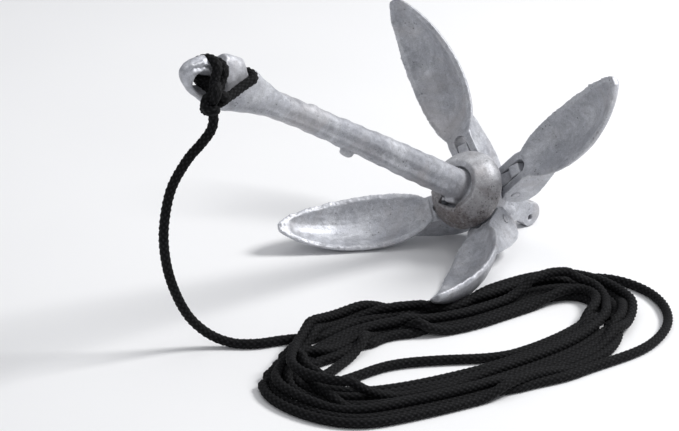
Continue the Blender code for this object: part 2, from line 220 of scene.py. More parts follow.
def roughen(obj, to_local, seed, coarse=0.3, middle=0.14, fine=0.05, pits=0.35, shape=None):
    """Moves each vertex along its normal by cast-skin noise, in millimetres; shape adds its own relief."""
    mesh = obj.data
    co, normals = points_of(mesh), points_of(mesh, "normal")
    inverse = np.array(to_local.inverted())
    local = (co @ inverse[:3, :3].T + inverse[:3, 3]) / MM
    local_normals = normals @ inverse[:3, :3].T
    away = Vector((seed * 37.1, seed * 11.7, seed * 5.3))
    rise = np.zeros(len(co), np.float32)
    for i, place in enumerate(local):
        p = Vector(place) + away
        amount = coarse * noise.noise(p / COARSE_LUMP)
        amount += middle * noise.noise(p / MIDDLE_LUMP) + fine * noise.noise(p / FINE_LUMP)
        distances, cells = noise.voronoi(p / PIT_SPACING)
        if pits and noise.cell(cells[0] * 9.7) > PIT_GATE:
            amount -= pits * max(0.0, 1.0 - distances[0] / PIT_SIZE) ** 2 * (0.5 + noise.noise(p / 20.0))
        rise[i] = amount
    if shape is not None:
        rise += shape(local, local_normals)
    co += normals * rise[:, None] * MM
    mesh.vertices.foreach_set("co", co.ravel())
    mesh.update()


def smooth_step(value, low, high):
    t = np.clip((value - low) / (high - low), 0.0, 1.0)
    return t * t * (3 - 2 * t)


def ridge(distance, width):
    """A rounded ridge: 1 on its line, nearly 0 at twice its width."""
    return np.exp(-((distance / width) ** 2))


# ---------------------------------------------------------------- shank

# Rows of (along, half width, half thickness, sideways shift, depth of the flute)
SHANK_ROWS = [
    (-13.0, 7.6, 6.6, 0.0, 0.0),
    (-9.0, 8.8, 8.0, 0.0, 0.0),
    (22.4, 8.8, 8.2, 0.0, 0.0),
    (22.8, 11.8, 11.8, 0.0, 0.0),
    (28.3, 11.8, 11.8, 0.0, 0.0),
    (28.7, 9.0, 8.3, 0.0, 0.0),
    (46.0, 9.0, 7.9, 0.0, 0.8),
    (86.0, 8.4, 7.4, 0.5, 1.1),
    (140.0, 7.4, 6.8, 0.9, 1.0),
    (182.0, 7.0, 6.5, 0.7, 0.9),
    (200.0, 7.4, 6.5, 0.4, 0.7),
    (211.0, 8.6, 6.5, 0.6, 0.3),
    (217.0, 9.9, 6.5, 0.8, 0.0),
    (224.0, 11.8, 6.6, 1.1, 0.0),
    (230.0, 13.1, 6.6, 1.2, 0.0),
    (237.0, 14.2, 6.5, 1.1, 0.0),
    (245.0, 14.5, 6.3, 0.7, 0.0),
    (253.0, 13.4, 6.0, 0.2, 0.0),
    (262.0, 10.8, 5.3, -0.7, 0.0),
    (268.0, 8.0, 4.6, -1.2, 0.0),
    (272.5, 5.0, 3.4, -1.7, 0.0),
    (275.2, 1.8, 1.4, -2.2, 0.0),
]
# Squareness of the section, and where its flute lies across the wide side, as a place and a width
SHANK_CORNERS = 2.4
FLUTE_AT, FLUTE_WIDTH = -0.3, 0.34
FIRST_SMOOTH_ROW, ROW_STEP = 5, 2.5
SHANK_SIDES = 64
LUG_OUTLINE = [(4.0, -11.0), (24.0, -9.5), (31.0, -7.5), (34.0, -3.0)]
LUG_OUTLINE += [(34.0, 5.0), (31.8, 12.2), (25.6, 12.2), (23.4, 8.5), (4.0, 9.5)]
LUG_HALF_WIDTH = 3.5
BORE_RADIUS = 2.7
SHANK_SKIN = (0.65, 6)
# Blocks on the shank, as (angle, reach, half width, low, high): the collar's key, its stop, a casting bump
STUBS = [(236.0, 11.4, 3.4, 26.0, 34.6), (225.0, 10.0, 2.2, 126.0, 135.0), (45.0, 8.4, 2.2, 166.0, 174.0)]
# The eye's hole as (along, wide side), its half sizes, and how much its lips widen with the flare
EYE_HOLE = (257.0, -4.0)
EYE_HOLE_HALF = (9.6, 5.4)
FLARE_REACH = 6.0
# Sections through the eye's hole as (across the thin side, flare, lean towards the tip)
EYE_SECTIONS = [(-9.0, 1.05, 5.8), (-6.0, 0.75, 5.6), (-3.5, 0.62, 5.2), (0.0, 0.76, 3.2), (2.5, 0.96, 1.0)]
EYE_SECTIONS += [(4.2, 1.22, 0.0), (6.0, 1.55, 0.0), (9.0, 2.3, 0.0)]
TRIP_AT, TRIP_RADIUS, TRIP_HALF_THICKNESS, TRIP_HOLE_RADIUS = (1.0, -42.4), 7.4, 3.4, 1.8
# The rib under the crown, as (along, radius)
RIB_ROWS = [(-5.0, 2.3), (-18.0, 2.1), (-21.0, 2.5), (-23.4, 2.4), (-24.4, 1.2)]
RIB_SIDEWAYS = -1.5
# Notches that hold the rope, as (wide side, along, half depth, half length)
ROPE_NOTCHES = [(14.6, 257.6, 9.2, 7.1), (19.8, 230.0, 12.0, 6.4)]


def between_rows(rows, step):
    """The rows with others between them, on a curve that passes through each."""
    table = np.array(rows)
    made = []
    for i in range(len(rows) - 1):
        before, start = table[max(i - 1, 0)], table[i]
        end, after = table[i + 1], table[min(i + 2, len(rows) - 1)]
        parts = max(1, round((end[0] - start[0]) / step))
        span = end[0] - start[0]
        slope_a = (end - before) / (end[0] - before[0]) * span
        slope_b = (after - start) / (after[0] - start[0]) * span
        for j in range(parts):
            t = j / parts
            a, b = 2 * t**3 - 3 * t**2 + 1, -2 * t**3 + 3 * t**2
            c, d = t**3 - 2 * t**2 + t, t**3 - t**2
            made.append(a * start + b * end + c * slope_a + d * slope_b)
    made.append(table[-1])
    return made


def shank_ring(row):
    along, wide, thin, shift, flute = row
    ring = []
    for i in range(SHANK_SIDES):
        turn = math.tau * (i + 0.5) / SHANK_SIDES
        c, s = math.cos(turn), math.sin(turn)
        n = math.copysign(abs(c) ** (2 / SHANK_CORNERS), c) * thin
        w = math.copysign(abs(s) ** (2 / SHANK_CORNERS), s) * wide
        n -= math.copysign(flute * math.exp(-(((w / wide - FLUTE_AT) / FLUTE_WIDTH) ** 2)), n)
        ring.append(flat_plane(n, w + shift, along))
    return ring


def stub(angle, reach, half_width, low, high):
    """A block that stands out from the shank, with its outer corners cut."""
    outline = [(4.0, low), (reach - 1.0, low + 0.6), (reach, low + 2.0)]
    outline += [(reach, high - 2.0), (reach - 1.0, high - 0.6), (4.0, high)]
    return moved(prism(outline, -half_width, half_width, (0, 2, 1)), about_shank(angle))


def across(outline, half_thickness):
    """An outline of (wide side, along) points swept through the shank's thin side."""
    rings = [[(n, w, z) for w, z in outline] for n in (-half_thickness, half_thickness)]
    return turned_points(loft(rings))


def trip_plate():
    outline = [(9.0, -4.0), (8.8, -14.0), (8.2, -24.0), (7.4, -33.0)]
    for i in range(25):
        turn = math.radians(30.0 - 240.0 * i / 24)
        outline.append((TRIP_AT[0] + TRIP_RADIUS * math.cos(turn), TRIP_AT[1] + TRIP_RADIUS * math.sin(turn)))
    outline += [(-5.6, -33.0), (-7.2, -24.0), (-8.8, -14.0), (-9.0, -4.0)]
    return across(outline, TRIP_HALF_THICKNESS)


def crown_rib():
    rings = []
    for z, size in RIB_ROWS:
        rings.append([(TRIP_HALF_THICKNESS + 1.0 + x, y + RIB_SIDEWAYS, z) for x, y in circle(size, 20)])
    return turned_points(loft(rings))


def eye_cutter():
    """The eye's hole, flared towards the front so that its lip is round, and leaning as it goes back."""
    rings = []
    for n, flare, lean in EYE_SECTIONS:
        long_half, wide_half = (half + (flare - 1) * FLARE_REACH for half in EYE_HOLE_HALF)
        place = EYE_HOLE[0] + lean
        rings.append([(n, EYE_HOLE[1] + wide_half * x, place + long_half * y) for x, y in circle(1.0, 40)])
    return turned_points(loft(rings))


def shank_relief(local, normals):
    """Folds of metal over the eye's top band, and small lumps where the mould's halves met."""
    n = (local[:, 0] - local[:, 1]) * math.sqrt(0.5)
    w = (local[:, 0] + local[:, 1]) * math.sqrt(0.5)
    z = local[:, 2]
    facing = smooth_step((normals[:, 0] - normals[:, 1]) * math.sqrt(0.5), 0.2, 0.7)
    out = np.hypot((w - EYE_HOLE[1]) / EYE_HOLE_HALF[1], (z - EYE_HOLE[0]) / EYE_HOLE_HALF[0])
    wobble = 0.06 * np.sin(z * 0.9) + 0.04 * np.sin(z * 2.1 + 1.0)
    band = facing * smooth_step(w, -4.0, 0.0) * smooth_step(z, 250.0, 256.0)
    folds = ridge(out - 1.45 + wobble, 0.09) + ridge(out - 1.95 - wobble, 0.1)
    creases = ridge(out - 1.68 + wobble, 0.09)
    rise = band * (0.75 * folds - 0.5 * creases)
    seam = ridge(n, 1.1) * smooth_step(z, 48.0, 60.0)
    rise += seam * (0.25 + 0.35 * np.sin(z * 0.35) * np.sin(z * 0.11 + 1.0))
    return rise.astype(np.float32)


def build_shank():
    rows = [shank_ring(row) for row in SHANK_ROWS[:FIRST_SMOOTH_ROW]]
    rows += [shank_ring(row) for row in between_rows(SHANK_ROWS[FIRST_SMOOTH_ROW:], ROW_STEP)]
    joined = [trip_plate(), crown_rib()]
    lug = prism(LUG_OUTLINE, -LUG_HALF_WIDTH, LUG_HALF_WIDTH, (0, 2, 1))
    joined += [moved(lug, about_shank(angle)) for angle, _ in FLUKES.values()]
    joined += [stub(*block) for block in STUBS]
    cut = [eye_cutter(), across(circle(TRIP_HOLE_RADIUS, 20, (TRIP_AT[0] - 2.0, TRIP_AT[1])), CUT_REACH)]
    for w, z, depth, length in ROPE_NOTCHES:
        cut.append(across([(w + depth * x, z + length * y) for x, y in circle(1.0, 48)], CUT_REACH))
    rib_bore = circle(1.0, 12, (RIB_SIDEWAYS, TRIP_HALF_THICKNESS + 2.6))
    cut.append(turned_points(prism(rib_bore, -24.0, -20.5, (1, 0, 2))))
    bore = prism(circle(BORE_RADIUS, 24, (PIN_RADIUS_AT, 0.0)), -12.0, 12.0, (0, 2, 1))
    cut += [moved(bore, about_shank(angle)) for angle, _ in FLUKES.values()]
    made = cast("shank_casting", loft(rows), joined, cut, SHANK_SKIN, SHANK)
    roughen(made, SHANK, 1, coarse=0.28, middle=0.16, fine=0.06, shape=shank_relief)
    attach(made, "shank")
    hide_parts("shank")
    return made


# ---------------------------------------------------------------- lock collar

COLLAR_BORE = 11.1
COLLAR_SKIN = (0.5, 3)
COLLAR_SIDES = 96
# How far the loose collar hangs from the CAD's place, across the thin side, across the wide side, and along
COLLAR_HANG = (0.9, -0.8, -2.6)
# The slot that lets the collar past the shank's key, as a block on the shank
KEYWAY = (228.0, 13.8, 6.4, 24.0, 38.0)
# Lumps on the dome, as (degrees round, their half width, along, their half length, height)
COLLAR_LUMPS = [(262.0, 8.0, 33.0, 2.0, 0.8), (203.0, 7.0, 31.0, 3.0, 0.6)]
# From the rim over the dome to the bore, then back inside, as (radius, along)
COLLAR_PROFILE = [
    (21.7, 19.7),
    (22.5, 20.3),
    (23.0, 21.4),
    (23.1, 22.6),
    (22.8, 24.3),
    (22.1, 26.4),
    (21.0, 28.5),
    (19.6, 30.5),
    (18.0, 32.3),
    (16.4, 33.9),
    (15.3, 34.9),
    (14.6, 35.4),
    (14.2, 35.4),
    (12.6, 34.7),
    (COLLAR_BORE + 0.4, 34.5),
    (COLLAR_BORE, 34.0),
    (COLLAR_BORE, 32.1),
    (13.4, 32.0),
    (17.4, 29.0),
    (19.6, 25.0),
    (20.2, 19.9),
    (20.8, 19.6),
]


def collar_relief(local, normals):
    """Lumps and scratches on the lower part of the dome, beside the keyway."""
    turn = np.degrees(np.arctan2(local[:, 1], local[:, 0])) % 360
    radius = np.hypot(local[:, 0], local[:, 1])
    outer = smooth_step(radius, 14.0, 16.0) * smooth_step(normals[:, 2] + 0.6, 0.0, 0.4)
    rise = np.zeros(len(local))
    for degrees, half_width, along, half_length, height in COLLAR_LUMPS:
        off = ((turn - degrees) / half_width) ** 2 + ((local[:, 2] - along) / half_length) ** 2
        rise += height * np.exp(-off) * outer
    low = outer * smooth_step(-local[:, 0] - local[:, 1], -6.0, 8.0)
    for i in np.nonzero(low > 0.02)[0]:
        p = Vector(local[i])
        scale = noise.noise(p / 1.9 + Vector((9.0, 2.0, 4.0)))
        rise[i] += low[i] * (0.30 * scale * abs(scale) * 2.0 + 0.12 * noise.noise(p / 0.8))
    return rise.astype(np.float32)


def build_collar():
    rings = []
    for i in range(COLLAR_SIDES):
        turn = math.tau * i / COLLAR_SIDES
        rings.append([(r * math.cos(turn), r * math.sin(turn), z) for r, z in COLLAR_PROFILE])
    back = Matrix.Translation(-flat_plane(*COLLAR_HANG))
    keyway = moved(stub(*KEYWAY), back)
    hung = SHANK @ Matrix.Translation(flat_plane(*COLLAR_HANG) * MM)
    made = cast("collar_casting", loft(rings, closed=True), [], [keyway], COLLAR_SKIN, hung)
    roughen(made, hung, 5, coarse=0.2, middle=0.14, fine=0.06, pits=0.5, shape=collar_relief)
    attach(made, "lock_collar")
    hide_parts("lock_collar")
    return made


# ---------------------------------------------------------------- flukes

FLUKE_SKIN = (0.55, 3)
# Where the blade starts and ends, out from the pin, and the share of that length which it fills
BLADE_ROOT, BLADE_TIP = 18.3, 113.0
BLADE_FROM, BLADE_SPAN = 0.02, 0.962
BLADE_HALF_WIDTH = 17.3
RIM_ABOVE_PIN, RIM_BOW = 8.0, 8.8
RIM_WIDTH = 3.0
EDGE_THICKNESS = 2.6
HULL_DEPTH, BASIN_DEPTH = 7.6, 6.8
BASIN_FROM, BASIN_TO = 0.05, 0.91
FORK_HALF_WIDTH = 8.4
# The fork's slot; flukes that stand open by less than WIDE_OPEN have it end lower
SLOT_HALF_WIDTH, SLOT_END, LOW_SLOT_END = 3.9, 21.5, 18.4
WIDE_OPEN = 55.0
# Powers of the blade's outline towards its root and its tip, and of its section and its hull's depth
LEAF_POWERS = (0.44, 0.66)
SECTION_POWER, HULL_POWER, BASIN_POWER = 2.2, 0.75, 0.6
BACK_SHARE = 0.97
BLADE_ALONG, BLADE_ACROSS = 64, 40
# Side view of the fork as (out to the tip, in to the shank), round the pin
FORK_OUTLINE = [(18.0, 7.8), (23.0, 5.4), (29.0, 0.8), (38.0, -4.0), (27.0, -9.6), (13.0, -12.7)]
FORK_OUTLINE += [(3.0, -13.7), (-4.0, -12.0), (-7.8, -7.0), (-8.0, 0.0), (-5.4, 5.8), (0.0, 8.0)]


def leaf(t):
    """Half width of the blade as a share of its widest, at t from the root (0) to the tip (1)."""
    rise, fall = LEAF_POWERS
    peak = rise / (rise + fall)
    return (t / peak) ** rise * ((1 - t) / (1 - peak)) ** fall


def rim_height(t):
    """How far the rim lies from the pin towards the shank; it bows away in the middle."""
    return RIM_ABOVE_PIN - 4 * RIM_BOW * t * (1 - t)


def basin(x, t, half):
    """Depth of the hollow at a place on the blade; the rim round it is flat."""
    u = (t - BASIN_FROM) / (BASIN_TO - BASIN_FROM)
    inner = half - RIM_WIDTH
    if not 0 < u < 1 or inner <= 0.5 or abs(x) >= inner:
        return 0.0
    return BASIN_DEPTH * math.sin(math.pi * u) ** BASIN_POWER * (1 - (abs(x) / inner) ** SECTION_POWER)


def blade_mesh():
    """The leaf-shaped blade with its hollow inner face and its rounded back, without the fork."""
    rings = []
    for i in range(BLADE_ALONG + 1):
        t = BLADE_FROM + BLADE_SPAN * i / BLADE_ALONG
        along = BLADE_ROOT + (BLADE_TIP - BLADE_ROOT) * t
        rim = rim_height(t)
        half = BLADE_HALF_WIDTH * leaf(t)
        swell = math.sin(math.pi * min(1.0, 0.12 + 0.86 * t)) ** HULL_POWER
        steps = [-1 + 2 * j / BLADE_ACROSS for j in range(BLADE_ACROSS + 1)]
        inner = [(s * half, rim - basin(s * half, t, half), along) for s in steps]
        outer = []
        for s in reversed(steps):
            depth = EDGE_THICKNESS + HULL_DEPTH * swell * (1 - abs(s) ** SECTION_POWER)
            outer.append((s * half * BACK_SHARE, rim - depth, along))
        rings.append(inner + outer)
    return loft(rings)


def slot_outline(end):
    """The slot between the fork's cheeks, with a round end."""
    outline = [(SLOT_HALF_WIDTH, -20.0)]
    for i in range(13):
        turn = math.pi * i / 12
        centre = end - SLOT_HALF_WIDTH
        outline.append((SLOT_HALF_WIDTH * math.cos(turn), centre + SLOT_HALF_WIDTH * math.sin(turn)))
    outline.append((-SLOT_HALF_WIDTH, -20.0))
    return outline


def fluke_relief(seed):
    """Flash and lumps along the rim, more of them near the tip."""

    def relief(local, normals):
        x, y, z = local.T
        t = np.clip((z - BLADE_ROOT) / (BLADE_TIP - BLADE_ROOT), 0.0, 1.0)
        rim = rim_height(t)
        half = np.maximum(BLADE_HALF_WIDTH * leaf(np.clip(t, 0.001, 0.999)), 1.0)
        beside = smooth_step(np.abs(x) / half, 0.7, 0.9) * (z > BLADE_ROOT + 2)
        on_rim = np.maximum(ridge(y - rim, 1.3) * beside, ridge(y - rim, 1.6) * smooth_step(t, 0.9, 0.97))
        rise = np.zeros(len(x), np.float32)
        for i in np.nonzero(on_rim > 0.03)[0]:
            p = Vector(local[i]) + Vector((seed * 3.3, 0.0, seed * 1.9))
            broad, sharp = noise.noise(p / 5.5), noise.noise(p / 1.7)
            amount = (0.35 + 0.4 * t[i]) * broad + (0.16 + 0.3 * t[i]) * sharp * abs(sharp) * 2.2
            rise[i] = on_rim[i] * amount
        streaks = np.sin(x * 2.3 + 0.6 * np.sin(z * 0.15 + seed)) * 0.025 * (1 - on_rim) * (normals[:, 1] > 0)
        return (rise + streaks).astype(np.float32)

    return relief


def build_fluke(name, seed):
    angle, opened = FLUKES[name]
    placed = fluke_matrix(angle, opened)
    side = [(inward, out) for out, inward in FORK_OUTLINE]
    fork = prism(side, -FORK_HALF_WIDTH, FORK_HALF_WIDTH, (2, 0, 1))
    slot_end = SLOT_END if opened > WIDE_OPEN else LOW_SLOT_END
    slot = prism(slot_outline(slot_end), -25.0, 25.0, (0, 2, 1))
    bore = prism(circle(BORE_RADIUS, 24), -25.0, 25.0, (2, 0, 1))
    to_metres = Matrix.Translation(placed.translation * MM) @ placed.to_3x3().to_4x4()
    to_world = SHANK @ to_metres
    made = cast(name + "_casting", blade_mesh(), [fork], [slot, bore], FLUKE_SKIN, to_world)
    roughen(made, to_world, seed, coarse=0.2, middle=0.09, fine=0.045, pits=0.4, shape=fluke_relief(seed))
    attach(made, name)
    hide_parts(name)
    return made


# ---------------------------------------------------------------- rivets

# Half of a rivet as (radius, along its axis from the middle), its end hammered nearly flush with the cheek
RIVET_PROFILE = [(2.3, 0.0), (2.35, 4.0), (2.4, 8.2), (2.5, 8.45), (2.2, 8.65), (1.4, 8.8), (0.3, 8.85)]


def build_rivet(name, seed):
    angle, _ = FLUKES[name.replace("pin", "fluke")]
    profile = [(r, -h) for r, h in reversed(RIVET_PROFILE[1:])] + RIVET_PROFILE[1:]
    rings = [[(x, along, y) for x, y in circle(radius, 40)] for radius, along in profile]
    placed = about_shank(angle) @ Matrix.Translation((PIN_RADIUS_AT, 0.0, 0.0))
    made = new_object(name + "_rivet", mesh_of(name, *moved(loft(rings), placed)))
    made.data.transform(SHANK)
    finer = made.modifiers.new("finer", "SUBSURF")
    finer.subdivision_type, finer.levels, finer.render_levels = "SIMPLE", 1, 1
    graph = bpy.context.evaluated_depsgraph_get()
    made.data = bpy.data.meshes.new_from_object(made.evaluated_get(graph))
    made.modifiers.clear()
    for polygon in made.data.polygons:
        polygon.use_smooth = True
    roughen(made, SHANK, seed, coarse=0.1, middle=0.08, fine=0.03, pits=0.0)
    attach(made, "shank")
    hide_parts(name)
    return made


# ---------------------------------------------------------------- rope

ROPE_RADIUS = 2.6
ROPE_SIDES = 30
PLAITS = 6
PLAIT_LENGTH = 3.6
PLAIT_HEIGHT = 0.5
ROPE_STEP = 0.8
# Share of its radius that the rope keeps at a cut end
END_SHARE = 0.6
COIL_AT = (26.8, -68.5)
COIL_ANGLE = 31.7
# Places round the coil, from its far left corner to the right, as (outer along, outer across, inner along,
# inner across) in the coil's own frame
COIL_STATIONS = [
    (-72.0, 54.0, -68.0, 26.0),
    (-40.0, 68.0, -38.0, 36.0),
    (-12.0, 65.0, -9.0, 34.0),
    (20.0, 56.0, 20.0, 31.0),
    (52.0, 58.0, 50.0, 36.0),
    (90.0, 61.0, 79.0, 41.0),
    (112.0, 49.0, 97.0, 36.0),
    (117.0, 18.0, 98.0, 22.0),
    (100.0, -7.0, 84.0, 8.0),
    (75.0, -25.0, 62.0, -3.0),
    (44.0, -37.0, 34.0, -10.0),
    (8.0, -43.0, 5.0, -15.0),
    (-28.0, -46.0, -24.0, -17.0),
    (-66.0, -46.0, -52.0, -15.0),
    (-99.0, -41.0, -78.0, -8.0),
    (-117.0, -16.0, -91.0, 2.0),
    (-119.0, 12.0, -92.0, 12.0),
    (-100.0, 38.0, -84.0, 20.0),
]
# Where each turn lies between the inner edge (0) and the outer edge (1), on the far side and on the near side
FAR_LANES = [0.9, 0.5, 0.1, 1.0, 0.35, 0.9, 0.0, 0.97, 0.25, 0.6]
NEAR_LANES = [0.93, 1.0, 0.3, 0.55, 0.12, 0.72, 0.0, 0.86, 0.42, 0.5]
# Shares of the way round between which the near side's lanes take over and let go again, the share at which
# the far side goes on to its next lane, and how far a strand strays from its lane
NEAR_STARTS, NEAR_ENDS = (0.33, 0.55), (0.88, 1.0)
NEXT_LANE = 0.7
LANE_WANDER = 0.05
# Height that each turn adds at the start, and the part of it that some stations have; the least is where a
# fluke's tip lies over the coil
PILE = 1.3
LOW_PILE = {0: 0.9, 1: 0.9, 2: 0.6, 3: 0.35, 4: 0.9, 5: 1.2}
# Strands that leave the bundle, as (turn, station): (along, across)
STRAYS = {
    (0, 5): (98.0, 57.0),
    (0, 6): (126.0, 50.0),
    (0, 7): (136.0, 20.0),
    (0, 8): (123.0, -12.0),
    (0, 9): (95.0, -33.0),
    (0, 10): (66.0, -39.5),
    (0, 11): (34.0, -42.0),
    (5, 15): (-98.0, 4.0),
    (5, 16): (-80.0, 13.0),
    (5, 17): (-57.0, 27.0),
    (6, 0): (-36.0, 43.0),
    (6, 1): (-16.0, 48.0),
    (6, 6): (103.0, 34.0),
    (6, 7): (93.0, 14.0),
    (6, 8): (74.0, 2.0),
    (6, 9): (50.0, -7.0),
    (6, 10): (30.0, -11.0),
    (6, 11): (8.0, -9.0),
    (6, 12): (-18.0, 1.0),
    (6, 13): (-46.0, 8.0),
    (6, 14): (-72.0, 3.0),
    (6, 15): (-92.0, 1.0),
}
# From the knot down to the floor and along it to the coil
LINE = [
    (-114.6, -79.0, 147.0),
    (-114.2, -79.0, 141.0),
    (-113.4, -79.0, 134.4),
    (-114.6, -79.0, 128.4),
    (-119.2, -79.0, 121.0),
    (-126.6, -79.0, 111.0),
    (-134.6, -79.0, 94.0),
    (-137.8, -78.8, 72.0),
    (-136.4, -78.0, 53.0),
    (-131.8, -76.4, 36.0),
    (-124.4, -73.0, 20.0),
    (-114.6, -69.0, 8.6),
    (-102.0, -68.6, 3.2),
    (-87.0, -68.6, 2.8),
    (-72.0, -60.0, 2.8),
]
# The rope settles as points at this distance, in rounds; the last rounds part it more often
SETTLE_STEP = 5.0
SETTLE_ROUNDS, LAST_ROUNDS = 130, 20
# In each round: the drop, the shares of smoothing and of the pull back to the path, and the push between turns
DROP, SMOOTHING, PULL, PUSH = 0.2, 0.3, 0.14, 0.6
# Air between turns, how many points on along the rope still touch, and the height above which it only hangs
TURN_GAP, NEIGHBOURS, HANGING_ABOVE = 0.15, 3, 14.0
# Air between the rope and the fluke over it, the share of each push out of it, and the space under it as a
# height, a front edge, a middle and a half width
FLUKE_GAP, FLUKE_PUSH = 0.3, 0.8
UNDER_FLUKE = (24.0, -45.0, 20.0, 60.0)
# Loops round the eye as (across the thin side, across the wide side, along)
EYE_STRAND = [
    (11.8, -6.8, 255.6),
    (8.6, -3.2, 255.2),
    (4.0, -1.8, 255.0),
    (-1.6, -2.2, 257.2),
    (-6.2, -0.8, 259.4),
    (-7.8, 2.4, 260.0),
    (-5.6, 5.8, 260.0),
    (0.0, 8.6, 260.2),
    (5.4, 8.4, 260.6),
    (8.8, 6.0, 260.2),
    (9.3, 1.4, 259.6),
    (10.6, -4.0, 258.8),
    (12.6, -8.2, 257.6),
]
SECOND_STRAND = [
    (12.8, -8.6, 257.6),
    (11.2, -4.0, 255.4),
    (9.6, 1.4, 254.8),
    (9.0, 6.0, 255.0),
    (5.4, 8.5, 255.0),
    (0.0, 8.7, 255.0),
    (-5.6, 6.4, 255.2),
    (-8.0, 2.6, 256.0),
    (-7.2, -1.4, 257.2),
    (-3.0, -3.8, 255.8),
    (2.0, -5.0, 253.6),
    (8.0, -7.0, 252.8),
    (11.6, -9.6, 252.8),
]
NECK_STRAND = [
    (12.6, -7.6, 251.0),
    (11.4, -4.0, 245.6),
    (9.8, 1.0, 239.8),
    (9.1, 5.6, 234.8),
    (8.5, 8.0, 232.0),
    (5.4, 10.0, 230.4),
    (0.0, 10.3, 229.8),
    (-4.8, 9.3, 229.8),
    (-8.2, 6.0, 230.2),
    (-9.4, -2.0, 233.0),
    (-8.4, -11.0, 239.4),
    (-3.4, -15.8, 244.4),
    (3.4, -16.0, 248.0),
    (9.4, -13.0, 251.8),
]
KNOT_AT = (13.0, -9.2, 257.2)
KNOT_SIZE = (2.6, 2.35, 1.7)


def curve_through(points, step):
    """Evenly spaced points on a Catmull-Rom curve through the given ones."""
    p = np.array([tuple(q) for q in points], float)
    p = np.vstack([2 * p[0] - p[1], p, 2 * p[-1] - p[-2]])
    dense = []
    for i in range(1, len(p) - 2):
        a, b, c, d = p[i - 1 : i + 3]
        slope, bend, twist = c - a, 2 * a - 5 * b + 4 * c - d, 3 * b - a - 3 * c + d
        for t in np.linspace(0, 1, 24, endpoint=False):
            dense.append(0.5 * (2 * b + slope * t + bend * t**2 + twist * t**3))
    dense.append(p[-2])
    dense = np.array(dense)
    lengths = np.concatenate([[0], np.cumsum(np.linalg.norm(np.diff(dense, axis=0), axis=1))])
    even = np.linspace(0, lengths[-1], max(4, round(lengths[-1] / step) + 1))
    return np.stack([np.interp(even, lengths, dense[:, k]) for k in range(3)], axis=1)


def coil_points():
    """Rough path of the rope round the coil, before it settles."""
    angle = math.radians(COIL_ANGLE)
    c, s = math.cos(angle), math.sin(angle)
    count = len(COIL_STATIONS)
    made = []
    for turn in range(len(FAR_LANES) - 1):
        for k, (out_u, out_v, in_u, in_v) in enumerate(COIL_STATIONS):
            share = k / count
            near = float(smooth_step(share, *NEAR_STARTS)) * (1.0 - float(smooth_step(share, *NEAR_ENDS)))
            far = FAR_LANES[turn] if share < NEXT_LANE else FAR_LANES[turn + 1]
            f = far + (NEAR_LANES[turn] - far) * near
            f += LANE_WANDER * noise.noise(Vector((turn * 3.1, k * 0.45, 7.7)))
            u, v = in_u + (out_u - in_u) * f, in_v + (out_v - in_v) * f
            u, v = STRAYS.get((turn, k), (u, v))
            height = ROPE_RADIUS + PILE * LOW_PILE.get(k, 1.0) * (turn + share)
            made.append((COIL_AT[0] + u * c - v * s, COIL_AT[1] + u * s + v * c, height))
    return made


def push_out(p, fluke):
    """Moves the rope's points that touch the fluke out of it, sideways or down but never up."""
    height, front, middle, half_width = UNDER_FLUKE
    reach = ROPE_RADIUS + FLUKE_GAP
    under = (p[:, 2] < height) & (p[:, 1] > front) & (np.abs(p[:, 0] - middle) < half_width)
    for i in np.nonzero(under)[0]:
        at = Vector(p[i]) * MM
        place, normal, _, away = fluke.find_nearest(at)
        inside = (at - place).dot(normal) < 0
        if inside or away / MM < reach:
            shift = normal * (reach + (away / MM if inside else -away / MM))
            shift.z = min(shift.z, 0.0)
            p[i] += np.array(shift) * FLUKE_PUSH


def settle(path, fluke):
    """Pushes the rope's turns apart and down onto the floor and each other, clear of the fluke over them."""
    p = curve_through(path, SETTLE_STEP)
    goal = p.copy()
    index = np.arange(len(p))
    apart = np.abs(index[:, None] - index[None, :]) > NEIGHBOURS
    gap = 2 * ROPE_RADIUS + TURN_GAP
    hanging = goal[:, 2] > HANGING_ABOVE
    for step in range(SETTLE_ROUNDS):
        p[~hanging, 2] -= DROP
        for _ in range(2):
            p[1:-1] += SMOOTHING * ((p[:-2] + p[2:]) / 2 - p[1:-1])
        p[:, :2] += PULL * (goal[:, :2] - p[:, :2])
        for _ in range(4 if step > SETTLE_ROUNDS - LAST_ROUNDS else 2):
            d = p[:, None, :] - p[None, :, :]
            distance = np.sqrt((d * d).sum(2)) + 1e-6
            push = np.where((distance < gap) & apart, (gap - distance) / distance, 0.0)
            near = np.maximum((push > 0).sum(1), 1)[:, None]
            p += PUSH * (push[:, :, None] * d).sum(1) / near
            push_out(p, fluke)
            p[hanging] = goal[hanging]
            p[:, 2] = np.maximum(p[:, 2], ROPE_RADIUS)
    return p


def add_braid_uv(mesh, run):
    """The first coordinate goes once round the rope, the second runs along it at the same scale."""
    uv = mesh.uv_layers.new(name="Braid")
    quads = np.arange((len(run) - 1) * ROPE_SIDES)[:, None]
    along = (quads // ROPE_SIDES + np.array([0, 0, 1, 1])).ravel()
    around = (quads % ROPE_SIDES + np.array([0, 1, 1, 0])).ravel()
    values = np.zeros((len(mesh.loops), 2), np.float32)
    values[: len(around), 0] = around / ROPE_SIDES
    values[: len(along), 1] = run[along] / (2 * math.pi * ROPE_RADIUS)
    uv.data.foreach_set("uv", values.ravel())


